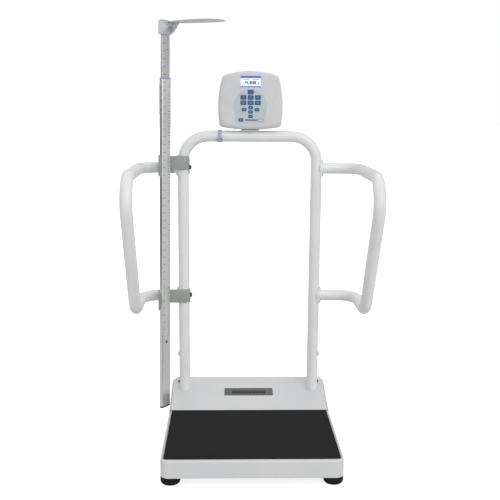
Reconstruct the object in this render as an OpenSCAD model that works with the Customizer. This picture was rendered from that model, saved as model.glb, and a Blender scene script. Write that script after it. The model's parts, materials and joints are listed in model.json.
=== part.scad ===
// Digital physician platform scale with handrails, turning display and telescopic height rod.
// Origin: middle of the footprint on the floor. +X to the user's right, -Y to the front, +Z up.

/* [Base] */
// Width of the base over its skirts
base_w = 550; // [540:1:556]
// Depth of the base, front skirt to rear wall
base_d = 596; // [590:2:610]
// Radius of the base's four upright corners
base_corner = 25; // [15:1:30]
// Height of the deck's top face over the floor
deck_top = 84; // [82:1:88]
// Height of the skirt's lower edge over the floor
skirt_low = 28; // [27:1:30]
// Thickness of the folded sheet covers
sheet = 2; // [1.5:0.5:2]
// Depth of the deck, front skirt to the seam with the rear housing
deck_d = 402; // [398:1:404]
// Height of the rear housing's highest edge over the floor
housing_top = 141; // [136:1:150]
// Width of the ribbed rubber mat
mat_w = 531; // [500:1:536]
// Depth of the ribbed rubber mat
mat_d = 391; // [360:1:392]
// Thickness of the ribbed rubber mat
mat_t = 3; // [2:0.5:4]

/* [Feet and load cells] */
// Diameter of a foot pad
foot_d = 60; // [50:1:64]
// Height of a foot pad
foot_h = 26; // [22:1:26]
// Distance of the foot centres from the middle plane, sideways
foot_x = 246; // [238:1:247]
// Distance of the foot centres from the middle plane, front and back
foot_y = 264; // [250:1:266]
// Diameter of a foot stud
stud_d = 12; // [10:1:14]
// Length of a load cell
cell_len = 130; // [120:1:140]

/* [Handrail frame] */
// Outer diameter of every frame and handrail tube
tube_d = 38; // [36:0.5:38]
// Wall of every frame and handrail tube
tube_wall = 2; // [1.5:0.5:2]
// Distance of the posts from the middle plane
post_x = 228; // [227:1:229]
// Distance of the post plane behind the middle of the footprint
post_y = 230; // [228:1:231]
// Height of the crossbar's centre line
crossbar_z = 1018; // [1014:1:1022]
// Bend radius of the frame's two upper corners, on the centre line
frame_bend = 86; // [80:1:92]

/* [Side handrails] */
// Distance of the side handrails from the middle plane
rail_x = 373; // [370:1:380]
// Height of the upper arm's centre line
rail_high = 911; // [908:1:913]
// Height of the lower arm's centre line
rail_low = 464; // [462:1:466]
// Reach of the upper corner in front of the posts, on the centre lines
rail_reach_high = 475; // [460:1:485]
// Reach of the lower corner in front of the posts, on the centre lines
rail_reach_low = 228; // [220:1:240]
// Bend radius between a sideways stub and its arm
stub_bend = 70; // [66:1:70]
// Bend radius at the two ends of the grip
grip_bend = 78; // [70:1:84]

/* [Height rod] */
// Distance of the height rod's lower end left of the middle plane
mast_x = 296.5; // [296:0.5:297]
// Distance of the height rod in front of the post plane
mast_ahead = 46; // [46:0.5:46.5]
// Angle by which the height rod leans to the right
mast_lean = 0.7; // [0.6:0.1:0.8]
// Angle by which the ruler face turns to the right of straight ahead
mast_turn = 56; // [56:1:57]
// Width of the outer mast's ruler face
mast_w = 44; // [44:0.5:44.5]
// Thickness of the outer mast
mast_t = 14; // [14:0.5:14.5]
// Wall of the outer mast
mast_wall = 2.2; // [2:0.1:2.4]
// Height of the outer mast's lower end over the floor
mast_low = 75; // [74:1:80]
// Height of the outer mast's upper end over the floor
mast_high = 1205; // [1196:1:1209]
// Height of the head block's lower face over the floor, as set
head_low = 1348; // [1345:1:1350]
// Gap all round between the inner and the outer mast
mast_gap = 0.6; // [0.5:0.1:0.8]
// Length of the head paddle from its hinge
paddle_len = 200; // [190:2:210]
// Greatest width of the head paddle
paddle_w = 104; // [90:2:120]

/* [Display] */
// Depth of the display housing, front to back
display_d = 52; // [50:1:54]
// Wall of the display housing
display_wall = 2.5; // [2:0.5:2.5]
// Width of the screen window
screen_w = 64; // [60:1:70]
// Height of the screen window
screen_h = 31; // [30:1:34]
// Travel of a key
key_travel = 0.6; // [0.4:0.1:0.7]

/* [Hidden] */
$fn = 64;
eps = 0.01;
FIT = 0.3;            // gap between parts that move past each other
RUN = 0.05;           // radial clearance of a turning fit

half_w = base_w / 2;
half_d = base_d / 2;
seam_y = deck_d - half_d;
tube_r = tube_d / 2;
bore_r = tube_r - tube_wall;
spigot_r = bore_r - 0.1;
saddle_t = 3;
disc_proud = 0.1;     // how far a joint disc stands over its tube
disc_trim = 0.2;      // how far a straight run stops short of its bend
frame_low = 86;       // where the posts stand on the base frame
spigot_top = 268;
post_bolt_z = 250;

frame_bar_w = 30;     // base frame's rectangular tubes
frame_bar_h = 24;
frame_bar_z = deck_top - sheet - frame_bar_h;
cell_t = 22;
cell_b = 26;
cell_z = 34;
cell_hole_inset = 14;
board_y = 205;         // middle of the junction board

slope = (housing_top - frame_low) / (half_d - sheet - seam_y);
function slope_z(y) = frame_low + slope * (y - seam_y);
label_y = 205;
label_w = 172;
label_h = 42;
label_t = 1.5;

clamp_t = 3;
tie_t = 1.3;
stub_tie_x = -271;     // the handrail's tie: left edge and width
stub_tie_w = 13;
bar_tie_x = -103;      // the crossbar's tie: middle, width and thickness
bar_tie_w = 12;
bar_tie_t = 2;
clamp_h = 47;
clamp_high_z = 904;
clamp_low_z = 441;
clamp_screw_high = 912;
clamp_screw_low = 465;
lip_h = 70;

inner_w = mast_w - 2 * mast_wall - 2 * mast_gap;
inner_t = mast_t - 2 * mast_wall - 2 * mast_gap;
inner_wall = 1.8;
inner_low = 262;
collar_h = 4;

head_y = 25;          // half width of the head block
head_back = -10.5;
head_front = 8.4;
head_h = 41.5;
head_top = head_low + head_h;
cap_h = 4;
pivot_out = 26;       // hinge pin ahead of the mast's middle
pivot_z = head_low + 29;
cheek_r = 6;
cheek_t = 9;
pin_r = 2.5;
blade_low = pivot_z + cheek_r + FIT;
blade_t = 5;
knuckle_y = head_y - cheek_t - FIT;
rib_drop = 16;

display_z = 1129;     // middle height of the display housing
display_front = -36;  // front face, relative to the post plane
shell_split = display_front + 24;
display_back = display_front + display_d;
screen_z = 1199;
key_pitch_x = 24;
key_pitch_z = 17.5;
key_size = [19.4, 14.4];
small_key_size = [15, 10.7];
key_cap_proud = 2;
key_flange = 1.2;
key_flange_t = 1;
dome_h = 0.7;
board_front = display_front + display_wall + FIT + key_flange_t + key_travel + FIT + dome_h;
overlay_t = 1;
overlay_r = 55;
overlay_z = 1120;
overlay_low = 1064;
overlay_low_w = 93;
battery_w = 112;
battery_h = 58;
battery_z = 1111;
swivel_r = 10;
swivel_flange_z = crossbar_z + tube_r + 0.5;
swivel_flange_t = 2.5;
swivel_flange_r = 30;
seat_top = crossbar_z + tube_r + 0.2;
sleeve_low = crossbar_z + 6;

// Key places: column, height over the overlay's centre, size (1 large, 0 small)
KEYS = [
  [0, 45, 1],
  [-1, 27.5, 1], [0, 27.5, 1], [1, 27.5, 1],
  [-1, 10, 1], [0, 10, 1], [1, 10, 1],
  [0, -6, 0], [-0.9, -12.6, 0], [0.9, -12.6, 0], [0, -20, 0],
  [0, -35, 0], [-1.35, -46.5, 0]
];

// The display lead's route: behind the crossbar, into the post's back, down inside it to the base
lead_d = 6;
LEAD = [
  [-27.3, 247, 1033.5], [-36, 248, 1032.5], [-46, 249.5, 1030], [-56, 251, 1026.5],
  [-68, 252.6, 1021], [-84, 253, 1018], [-111, 253, 1018], [-130, 253, 1018], [-148, 253, 1018],
  [-170, 253, 1013],
  [-190, 253, 1003], [-207, 254, 988], [-219, 256, 970], [-226, 258, 950], [-228, 258, 925],
  [-228, 258, 900], [-228, 256, 880], [-228, 251, 864], [-228, 243, 852], [-228, 236, 840],
  [-228, 231, 822], [-228, 230, 800], [-228, 230, 700], [-228, 230, 560], [-228, 230, 420],
  [-228, 230, 280], [-228, 230, 180], [-228, 230, 120], [-227, 230, 100], [-223, 230, 84],
  [-214, 230, 73], [-200, 230, 68], [-160, 230, 68], [-120, 230, 68], [-96, 230, 71],
  [-82, 230, 78], [-72, 230, 86], [-63, 230, 92], [-52, 230, 94.6]
];

// ---------------------------------------------------------------- shared shapes

// Rectangle centred on the origin with round corners, made of straight sides and true arcs
module round_rect(w, h, r) {
  square([w - 2 * r, h], center = true);
  square([w, h - 2 * r], center = true);
  for (x = [-1, 1], y = [-1, 1])
    translate([x * (w / 2 - r), y * (h / 2 - r)]) circle(r);
}

module round_box(w, d, h, r) {
  linear_extrude(h) round_rect(w, d, r);
}

// Bar bend: a quarter or part turn of a round bar, centred on the origin
module elbow(bend, r, angle) {
  rotate_extrude(angle = angle, $fn = 96) translate([bend, 0]) circle(r);
}

// Round bar between two points of one plane, given as [across, up]
module bar_2d(from, to, r) {
  d = to - from;
  translate([from[0], from[1], 0]) rotate([0, 0, atan2(d[1], d[0])]) rotate([0, 90, 0])
    cylinder(h = norm(d), r = r);
}

// Things placed in the height rod's own frame: X along the paddle, Y across the ruler face
module at_mast() {
  translate([-mast_x, post_y - mast_ahead, mast_low]) rotate([0, mast_lean, 0])
    translate([0, 0, -mast_low]) rotate([0, 0, mast_turn - 90]) children();
}

// X of the leaning rod's middle at a height
function mast_at(z) = -mast_x + (z - mast_low) * tan(mast_lean);

// Things placed in the display's own frame: X across, Y back from the post plane
module at_display() {
  translate([0, post_y, 0]) children();
}

// Extrudes an outline drawn in X and Z from y0 to y1
module slab_y(y0, y1) {
  translate([0, y1, 0]) rotate([90, 0, 0]) linear_extrude(y1 - y0) children();
}

// ---------------------------------------------------------------- base

module base_outline(inset = 0) {
  round_rect(base_w - 2 * inset, base_d - 2 * inset, base_corner - inset);
}

module platform_cover() {
  color("whitesmoke") difference() {
    linear_extrude_part(skirt_low, deck_top, -half_d, seam_y, 0);
    linear_extrude_part(skirt_low - 1, deck_top - sheet, -half_d - 1, seam_y + 1, sheet);
  }
}

// The stretch of the base's outline between two Y values, from z0 to z1
module linear_extrude_part(z0, z1, y0, y1, inset) {
  translate([0, 0, z0]) linear_extrude(z1 - z0) intersection() {
    base_outline(inset);
    translate([-base_w, y0]) square([2 * base_w, y1 - y0]);
  }
}

// Sloping side view of the rear housing, from z0 up to the slope lowered by drop
module housing_body(z0, y0, drop, inset) {
  intersection() {
    linear_extrude_part(z0, housing_top + 1, y0, half_d + 1, inset);
    rotate([90, 0, 90]) translate([0, 0, -base_w]) linear_extrude(2 * base_w)
      polygon([
        [seam_y, z0 - 1], [half_d + 1, z0 - 1], [half_d + 1, housing_top - drop],
        [half_d - sheet, housing_top - drop], [seam_y, frame_low - drop]
      ]);
  }
}

module rear_housing() {
  color("whitesmoke") difference() {
    housing_body(skirt_low, seam_y + eps, 0, 0);
    housing_body(skirt_low - 1, seam_y - 1, sheet, sheet);
    for (side = [-1, 1]) translate([side * post_x, post_y, 50]) cylinder(h = 120, r = tube_r + 0.5);
  }
}

module platform_mat() {
  color([0.13, 0.13, 0.13]) translate([0, seam_y - 1 - mat_d / 2, deck_top])
    linear_extrude(mat_t) round_rect(mat_w, mat_d, 6);
}

module panel_label() {
  color("dimgray") translate([0, label_y, slope_z(label_y)]) rotate([atan(slope), 0, 0])
    translate([0, 0, 0.02]) round_box(label_w, label_h, label_t, 2);
}

module frame_bar(x0, x1, y0, y1) {
  translate([x0, y0, frame_bar_z]) cube([x1 - x0, y1 - y0, frame_bar_h]);
}

module base_frame() {
  bar_x = post_x + frame_bar_w;
  bar_y = foot_y + frame_bar_w / 2;
  cell_in = foot_x + cell_hole_inset - cell_len;
  color("gray") difference() {
    union() {
      for (side = [-1, 1]) {
        frame_bar(-bar_x, bar_x, side * foot_y - frame_bar_w / 2, side * foot_y + frame_bar_w / 2);
        frame_bar(
          side > 0 ? bar_x - frame_bar_w : -bar_x, side > 0 ? bar_x : -bar_x + frame_bar_w,
          -bar_y, bar_y
        );
        // spacer between the bar and the fixed end of each load cell
        for (end = [-1, 1])
          translate([side * (cell_in + 22) - 22, end * foot_y - cell_b / 2, cell_z + cell_t])
            cube([44, cell_b, frame_bar_z - cell_z - cell_t + eps]);
        // post socket: plate on the side bar, with a spigot inside the post
        translate([side * post_x - 34, post_y - 30, frame_bar_z + frame_bar_h - eps])
          cube([68 - 6, 60, frame_low - frame_bar_z - frame_bar_h + eps]);
        translate([side * post_x, post_y, frame_low - 1])
          cylinder(h = spigot_top - frame_low + 1, r = spigot_r);
      }
      frame_bar(-bar_x, bar_x, -100 - frame_bar_w / 2, -100 + frame_bar_w / 2);
      frame_bar(-bar_x, bar_x, 80 - frame_bar_w / 2, 80 + frame_bar_w / 2);
      // shelf for the junction board
      translate([-70, 94, frame_bar_z + frame_bar_h - 3]) cube([140, 156, 3]);
    }
    for (side = [-1, 1]) {
      translate([side * post_x, post_y, frame_bar_z - 1])
        cylinder(h = spigot_top - frame_bar_z + 2, r = 12);
      translate([side * (post_x + tube_r), post_y, post_bolt_z]) rotate([0, 90, 0])
        cylinder(h = 30, r = 3.1, center = true);
      for (end = [-1, 1], k = [10, 34])
        translate([side * (cell_in + k), end * foot_y, cell_z]) cylinder(h = 34, r = 4.05);
    }
  }
}

// Bending-beam load cell: fixed inner end with two bolts, foot stud at the outer end
module load_cell(side, end) {
  color("silver") translate([side * foot_x, end * foot_y, cell_z]) mirror([side > 0 ? 1 : 0, 0, 0])
    difference() {
      translate([-cell_hole_inset, -cell_b / 2, 0]) cube([cell_len, cell_b, cell_t]);
      translate([0, 0, -1]) cylinder(h = cell_t + 2, r = stud_d / 2);
      for (k = [10, 34])
        translate([cell_len - cell_hole_inset - k, 0, -1]) cylinder(h = cell_t + 2, r = 4.05);
      for (x = [38, 56]) translate([x, 0, cell_t / 2]) rotate([90, 0, 0])
        cylinder(h = cell_b + 2, r = 8, center = true);
      translate([38, -cell_b / 2 - 1, cell_t / 2 - 2]) cube([18, cell_b + 2, 4]);
    }
}

// Foot pad: domed rubber puck that turns on its stud
module foot_pad(side, end) {
  color([0.1, 0.1, 0.1]) translate([side * foot_x, end * foot_y, 0]) difference() {
    rotate_extrude($fn = 96) {
      square([foot_d / 2 - 10, foot_h]);
      translate([0, 10]) square([foot_d / 2, foot_h - 10]);
      translate([foot_d / 2 - 10, 10]) circle(10);
    }
    translate([0, 0, 8]) cylinder(h = foot_h, r = stud_d / 2);
  }
}

module foot_studs() {
  color("silver") for (side = [-1, 1], end = [-1, 1])
    translate([side * foot_x, end * foot_y, 0]) {
      translate([0, 0, 8 + FIT]) cylinder(h = 48, r = stud_d / 2 - RUN);
      // lock nut under the cell
      translate([0, 0, foot_h + FIT]) cylinder(h = cell_z - foot_h - FIT, r = 10.5, $fn = 6);
    }
}

module junction_board() {
  color("green") translate([0, board_y, deck_top - sheet + 7]) {
    translate([-50, -42, 0]) cube([100, 84, 1.6]);
    translate([-50, 229 - board_y - 5, 1.6]) cube([26, 10, 9]);
    for (x = [-18, 0, 18]) translate([x - 7, -40, 1.6]) cube([14, 9, 9]);
    translate([-14, -12, 1.6]) cube([28, 28, 3]);
    for (x = [-44, 44], y = [-36, 28]) translate([x, y, -7]) cylinder(h = 7, r = 3);
  }
}

// Cell bolts from below, and the rear housing's side screws
module base_screws() {
  cell_in = foot_x + cell_hole_inset - cell_len;
  color("silver") {
    for (side = [-1, 1], end = [-1, 1], k = [10, 34])
      translate([side * (cell_in + k), end * foot_y, cell_z]) {
        translate([0, 0, -4]) cylinder(h = 4, r = 6.5, $fn = 6);
        cylinder(h = 30, r = 4);
      }
    for (side = [-1, 1], y = [seam_y + 26, half_d - 60])
      translate([side * half_w, y, 44]) rotate([0, side * 90, 0]) cylinder(h = 2.2, r = 4.5);
  }
}

// ---------------------------------------------------------------- frame and handrails

module frame_path(r) {
  bend_x = post_x - frame_bend;
  bend_z = crossbar_z - frame_bend;
  translate([0, post_y, 0]) rotate([90, 0, 0]) {
    for (side = [-1, 1]) {
      bar_2d([side * post_x, frame_low - (r < tube_r ? 1 : 0)], [side * post_x, bend_z], r);
      translate([side * bend_x, bend_z, 0]) rotate([0, 0, side > 0 ? 0 : 90])
        elbow(frame_bend, r, 90);
    }
    bar_2d([-bend_x, crossbar_z], [bend_x, crossbar_z], r);
  }
}

module handrail_frame() {
  color("whitesmoke") difference() {
    frame_path(tube_r);
    frame_path(bore_r);
    translate([0, post_y, crossbar_z]) cylinder(h = 40, r = swivel_r + 1);
    for (side = [-1, 1]) {
      translate([side * (post_x + tube_r), post_y, post_bolt_z]) rotate([0, 90, 0])
        cylinder(h = 12, r = 3.1, center = true);
      for (z = [rail_high, rail_low], dz = [-1, 1])
        translate([side * post_x, post_y, z + dz * 23.5]) rotate([0, side * 90, 0])
          cylinder(h = 30, r = 2.6);
    }
    for (z = [clamp_screw_high, clamp_screw_low])
      translate([-post_x, post_y, z]) rotate([0, 90, 0]) cylinder(h = 30, r = 2.6);
    // where the display lead enters the left post, from behind
    translate([-post_x, post_y + tube_r - 0.7, 861.2]) rotate([-29, 0, 0])
      cylinder(h = 50, r = 5, center = true);
  }
}

// Turn at a corner of the handrail's own plane, between two directions given as angles
module corner_2d(at, from_dir, to_dir, bend, r) {
  turn = from_dir - to_dir;
  set_back = bend * tan(turn / 2);
  start = at - set_back * [cos(from_dir), sin(from_dir)];
  centre = start + bend * [sin(from_dir), -cos(from_dir)];
  translate([centre[0], centre[1], 0]) rotate([0, 0, to_dir + 90]) elbow(bend, r, turn);
}

// Disc where a bend meets a straight run: the run stops a hair short of it, so no two ends only touch
module joint_disc(at, dir, r) {
  translate([at[0], at[1], 0]) rotate([0, 0, dir]) rotate([0, 90, 0])
    cylinder(h = 1, r = r + disc_proud, center = true);
}

// One side handrail on the right: stub, upper arm, grip, lower arm, stub
module rail_path(r) {
  high = [rail_reach_high, rail_high];
  low = [rail_reach_low, rail_low];
  fall = high - low;
  grip_dir = atan2(-fall[1], -fall[0]);
  grip = [cos(grip_dir), sin(grip_dir)];
  set_high = grip_bend * tan(-grip_dir / 2);
  set_low = grip_bend * tan((180 + grip_dir) / 2);
  translate([rail_x, post_y, 0]) rotate([90, 0, -90]) {
    bar_2d([stub_bend, rail_high], high - [set_high + disc_trim, 0], r);
    joint_disc(high - [set_high, 0], 0, r);
    corner_2d(high, 0, grip_dir, grip_bend, r);
    joint_disc(high + set_high * grip, grip_dir, r);
    bar_2d(high + (set_high + disc_trim) * grip, low - (set_low + disc_trim) * grip, r);
    joint_disc(low - set_low * grip, grip_dir, r);
    corner_2d(low, grip_dir, -180, grip_bend, r);
    joint_disc(low - [set_low, 0], 0, r);
    bar_2d(low - [set_low + disc_trim, 0], [stub_bend, rail_low], r);
  }
  for (z = [rail_high, rail_low]) {
    translate([rail_x - stub_bend, post_y - stub_bend, z]) elbow(stub_bend, r, 90);
    translate([post_x, post_y, z]) rotate([0, 90, 0])
      cylinder(h = rail_x - stub_bend - post_x, r = r);
  }
}

module side_rail() {
  difference() {
    rail_path(tube_r);
    rail_path(bore_r);
    translate([post_x, post_y, rail_low - 60]) cylinder(h = 600, r = tube_r + saddle_t);
  }
}

module right_handrail() {
  color("whitesmoke") side_rail();
}

module left_handrail() {
  color("whitesmoke") mirror([1, 0, 0]) side_rail();
}

// Curved plates between the handrails' ends and the posts
module rail_saddles() {
  color("whitesmoke") for (side = [0, 1], z = [rail_high, rail_low])
    mirror([side, 0, 0]) difference() {
      translate([post_x, post_y, z - 28]) linear_extrude(56) difference() {
        intersection() {
          circle(tube_r + saddle_t);
          polygon([[0, 0], [40, 56], [40, -56]]);
        }
        circle(tube_r + 0.02);
      }
      for (dz = [-1, 1]) translate([post_x, post_y, z + dz * 23.5]) rotate([0, 90, 0])
        cylinder(h = 30, r = 2.6);
    }
}

// Pan head screw along +X from the origin, head outside
module pan_screw(head_r, head_h, shank_r, shank) {
  rotate([0, 90, 0]) {
    translate([0, 0, -shank]) cylinder(h = shank, r = shank_r);
    cylinder(h = head_h * 0.6, r = head_r);
    translate([0, 0, head_h * 0.6]) cylinder(h = head_h * 0.4, r1 = head_r, r2 = head_r * 0.7);
  }
}

module frame_bolts() {
  color([0.25, 0.24, 0.22]) {
    for (side = [0, 1]) mirror([side, 0, 0]) {
      translate([post_x + tube_r, post_y, post_bolt_z]) pan_screw(7.5, 6, 3, 8);
      for (z = [rail_high, rail_low], dz = [-1, 1])
        translate([post_x + tube_r + saddle_t, post_y, z + dz * 23.5]) pan_screw(4.2, 2.6, 2.5, 9);
    }
    for (z = [clamp_screw_high, clamp_screw_low])
      translate([-post_x + tube_r + FIT + clamp_t, post_y, z]) pan_screw(8, 6, 2.5, 9);
  }
}

// ---------------------------------------------------------------- rod clamps

// Plan view of a clamp's strap: across the post's front and round its side
module strap_plan(mast_mid) {
  post = [-post_x, post_y];
  inner = tube_r + FIT;
  difference() {
    union() {
      translate([mast_mid + 3, post[1] - inner - clamp_t])
        square([-post_x - mast_mid - 3, clamp_t]);
      translate(post) intersection() {
        circle(inner + clamp_t);
        translate([0, -30]) square([30, 60]);
      }
      translate([post[0] - 24, post[1] + inner]) square([24, clamp_t]);
    }
    translate(post) circle(inner);
  }
}

// Channel round the mast's back and its right narrow face, in the rod's frame
module clamp_channel(z) {
  wall = clamp_t - 0.5;
  at_mast() translate([0, 0, z]) linear_extrude(clamp_h) difference() {
    translate([-mast_t / 2 - wall, -mast_w / 2]) square([mast_t + wall - 5.5, mast_w + wall]);
    square([mast_t, mast_w], center = true);
  }
}

// The round-edged lip that holds the mast's left narrow face
module clamp_lip(z) {
  sag = mast_t - 1;
  lip_r = (lip_h * lip_h / 4 + sag * sag) / (2 * sag);
  at_mast() translate([-mast_t / 2, -mast_w / 2, z]) rotate([90, 0, 0])
    linear_extrude(clamp_t - 0.5) intersection() {
      translate([sag - lip_r, 0]) circle(lip_r);
      translate([-clamp_t + 0.5, -lip_h]) square([40, 2 * lip_h]);
    }
}

module clamp(z, screw_z, tab) {
  color([0.55, 0.57, 0.54]) difference() {
    union() {
      difference() {
        translate([0, 0, z]) linear_extrude(clamp_h) strap_plan(mast_at(z + clamp_h / 2));
        at_mast() translate([0, 0, z - 10]) linear_extrude(clamp_h + 20)
          square([mast_t, mast_w], center = true);
      }
      clamp_channel(z);
      clamp_lip(z + clamp_h / 2 - 6);
      if (tab)
        translate([-post_x + tube_r + FIT, post_y - 4, z - 14]) cube([clamp_t, 8, 15]);
    }
    // rounded upper corner of the strap at the post's inner side
    translate([-post_x + tube_r + FIT + clamp_t - 10, post_y - 60, z + clamp_h - 10])
      difference() {
        cube([20, 120, 20]);
        rotate([-90, 0, 0]) translate([0, 0, -1]) cylinder(h = 122, r = 10);
      }
    translate([-post_x, post_y, screw_z]) rotate([0, 90, 0]) cylinder(h = 40, r = 2.6);
    if (tab) {
      // room for the start of the frame's bend, and for the tie on the handrail's stub
      translate([-post_x + 2.3, post_y, z + 32]) cylinder(h = 20, r = tube_r + FIT);
      translate([stub_tie_x - 1, post_y, rail_high]) rotate([0, 90, 0])
        cylinder(h = stub_tie_w + 2, r = tube_r + tie_t + 0.2);
    }
  }
}

module upper_clamp() { clamp(clamp_high_z, clamp_screw_high, true); }

module lower_clamp() { clamp(clamp_low_z, clamp_screw_low, false); }

// ---------------------------------------------------------------- height rod

module mast_outer() {
  color("silver") at_mast() translate([0, 0, mast_low]) linear_extrude(mast_high - mast_low)
    difference() {
      round_rect(mast_t, mast_w, 3);
      round_rect(mast_t - 2 * mast_wall, mast_w - 2 * mast_wall, 1.5);
    }
}

module mast_inner() {
  color("darkgray") at_mast() translate([0, 0, inner_low])
    linear_extrude(head_low + 27 - inner_low) difference() {
      round_rect(inner_t, inner_w, 2);
      round_rect(inner_t - 2 * inner_wall, inner_w - 2 * inner_wall, 0.8);
    }
}

// Plastic shoe that keeps the inner mast centred
module mast_glide() {
  color("white") at_mast() {
    translate([0, 0, inner_low - 14])
      round_box(inner_t + 2 * (mast_gap - FIT), inner_w + 2 * (mast_gap - FIT), 14, 1.2);
    translate([0, 0, inner_low])
      round_box(inner_t - 2 * inner_wall - 0.1, inner_w - 2 * inner_wall - 0.1, 18, 0.7);
  }
}

module mast_end_plug() {
  color([0.12, 0.12, 0.12]) at_mast() {
    translate([0, 0, mast_low - 5]) round_box(mast_t, mast_w, 5, 3);
    translate([0, 0, mast_low - eps])
      round_box(mast_t - 2 * mast_wall - 0.1, mast_w - 2 * mast_wall - 0.1, 20, 1.4);
  }
}

module reading_collar() {
  color("steelblue") at_mast() translate([0, 0, mast_high]) linear_extrude(collar_h)
    difference() {
      round_rect(mast_t + 0.8, mast_w + 0.8, 3.2);
      round_rect(inner_t + 2 * FIT, inner_w + 2 * FIT, 1.8);
    }
}

module brake_housing() {
  color("gainsboro") at_mast() translate([-mast_t / 2 - 6, 0, 1092]) difference() {
    translate([0, -16, 0]) cube([6 - eps, 32, 98]);
    translate([2, -14, 2]) cube([6, 28, 94]);
  }
}

module head_block() {
  color("lightgray") at_mast() difference() {
    union() {
      translate([(head_back + head_front) / 2, 0, head_low])
        round_box(head_front - head_back, 2 * head_y, head_h, 3);
      // cheeks that carry the hinge pin
      for (side = [-1, 1]) translate([0, side * (head_y - cheek_t / 2) + cheek_t / 2, 0])
        rotate([90, 0, 0]) linear_extrude(cheek_t) {
          translate([pivot_out, pivot_z]) circle(cheek_r);
          polygon([
            [head_front - 4, pivot_z + cheek_r], [pivot_out, pivot_z + cheek_r],
            [pivot_out + cheek_r, pivot_z], [pivot_out + cheek_r - 2, pivot_z - 6],
            [head_front + 3, head_low + 4], [head_front - 4, head_low + 4]
          ]);
        }
    }
    // socket for the inner mast
    translate([0, 0, head_low - 1]) round_box(inner_t + 0.04, inner_w + 0.04, 28, 2);
    // room for the paddle's knuckle and rib
    translate([head_front, -knuckle_y - FIT, head_low - 1])
      cube([40, 2 * (knuckle_y + FIT), head_h + 2]);
    translate([pivot_out, 0, pivot_z]) rotate([90, 0, 0])
      cylinder(h = 2 * head_y + 2, r = pin_r, center = true);
  }
}

module head_cap() {
  color("gray") at_mast() translate([(head_back + head_front) / 2, -3, head_top])
    round_box(head_front - head_back - 3, 2 * head_y - 10, cap_h, 3);
}

// Paddle's plan: narrow at the hinge, widest past the middle, with a round tip
module paddle_plan() {
  x0 = head_front + FIT;
  tip = pivot_out + paddle_len;
  half = paddle_w / 2;
  tip_r = 30;
  polygon([
    [x0, -26], [x0, 26], [pivot_out + 30, 34], [pivot_out + 75, half - 5],
    [pivot_out + 108, half], [tip - tip_r - 22, half], [tip - tip_r, half - 5],
    [tip - tip_r, -half + 5], [tip - tip_r - 22, -half], [pivot_out + 108, -half],
    [pivot_out + 75, -half + 5], [pivot_out + 30, -34]
  ]);
  for (side = [-1, 1]) translate([tip - tip_r, side * (half - 5 - tip_r)]) circle(tip_r);
  translate([tip - tip_r, -half + 5 + tip_r]) square([tip_r, 2 * (half - 5 - tip_r)]);
}

module head_paddle() {
  color("lightgray") at_mast() difference() {
    union() {
      translate([0, 0, blade_low]) linear_extrude(blade_t) paddle_plan();
      // knuckle round the hinge pin
      translate([pivot_out, 0, pivot_z]) rotate([90, 0, 0])
        cylinder(h = 2 * knuckle_y, r = 5.4, center = true);
      translate([pivot_out - 5, -knuckle_y, pivot_z])
        cube([10.4, 2 * knuckle_y, blade_low - pivot_z + eps]);
      // rib under the blade
      translate([0, 1.5, 0]) rotate([90, 0, 0]) linear_extrude(3) polygon([
        [pivot_out, blade_low + 1], [pivot_out + 30, blade_low + 1],
        [pivot_out + cheek_r + 1.5, pivot_z - rib_drop], [pivot_out + 2, pivot_z - 4]
      ]);
    }
    translate([pivot_out, 0, pivot_z]) rotate([90, 0, 0])
      cylinder(h = 2 * head_y, r = pin_r + RUN, center = true);
  }
}

module hinge_pin() {
  color("silver") at_mast() translate([pivot_out, 0, pivot_z]) rotate([90, 0, 0])
    cylinder(h = 2 * head_y, r = pin_r, center = true);
}

// ---------------------------------------------------------------- display

// Housing outline in X and Z: four shallow arcs, with the corners eased by a fifth
module display_outline(inset = 0) {
  intersection() {
    for_sides() translate([-261.7 - inset, 1115]) circle(370, $fn = 360);
    translate([0, 958.5 - inset]) circle(276, $fn = 360);
    translate([0, swivel_flange_z + swivel_flange_t + 530 + inset]) circle(530, $fn = 360);
    translate([0, display_z]) circle(126.5 - inset, $fn = 180);
  }
}

// What a pair of mirror images have in common
module for_sides() {
  intersection() {
    children();
    mirror([1, 0, 0]) children();
  }
}

function key_at(k) = [KEYS[k][0] * key_pitch_x, overlay_z + KEYS[k][1]];
function key_dims(k) = KEYS[k][2] == 1 ? key_size : small_key_size;

module key_holes(grow) {
  for (k = [0:len(KEYS) - 1]) translate(key_at(k))
    round_rect(key_dims(k)[0] + 2 * grow, key_dims(k)[1] + 2 * grow, 2.5 + grow);
}

module overlay_outline() {
  translate([0, overlay_z]) circle(overlay_r);
  polygon([
    [-overlay_r + 0.5, overlay_z], [overlay_r - 0.5, overlay_z],
    [overlay_low_w / 2, overlay_low], [-overlay_low_w / 2, overlay_low]
  ]);
}

module front_shell() {
  color("whitesmoke") at_display() difference() {
    slab_y(display_front, shell_split) display_outline();
    slab_y(display_front + display_wall, shell_split + 1) display_outline(display_wall);
    slab_y(display_front - 1, display_front + display_wall + 1) {
      key_holes(FIT);
      translate([0, screen_z]) round_rect(screen_w + 5, screen_h + 5, 2);
    }
  }
}

module rear_shell() {
  color("whitesmoke") at_display() difference() {
    slab_y(shell_split + eps, display_back) display_outline();
    slab_y(shell_split - 1, display_back - display_wall) display_outline(display_wall);
    slab_y(display_back - display_wall - 1, display_back + 1)
      translate([0, battery_z]) round_rect(battery_w - 8, battery_h - 8, 3);
    // seat of the neck
    translate([0, 0, swivel_flange_z - 10]) cylinder(h = 22, r = 8);
    for (x = [-84, 84], z = [1066, 1200]) translate([x, display_back, z]) rotate([90, 0, 0])
      cylinder(h = 20, r = 2.1, center = true);
  }
}

module keypad_overlay() {
  color([0.68, 0.71, 0.74]) at_display() slab_y(display_front - overlay_t, display_front)
    difference() {
      overlay_outline();
      key_holes(FIT);
    }
}

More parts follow.
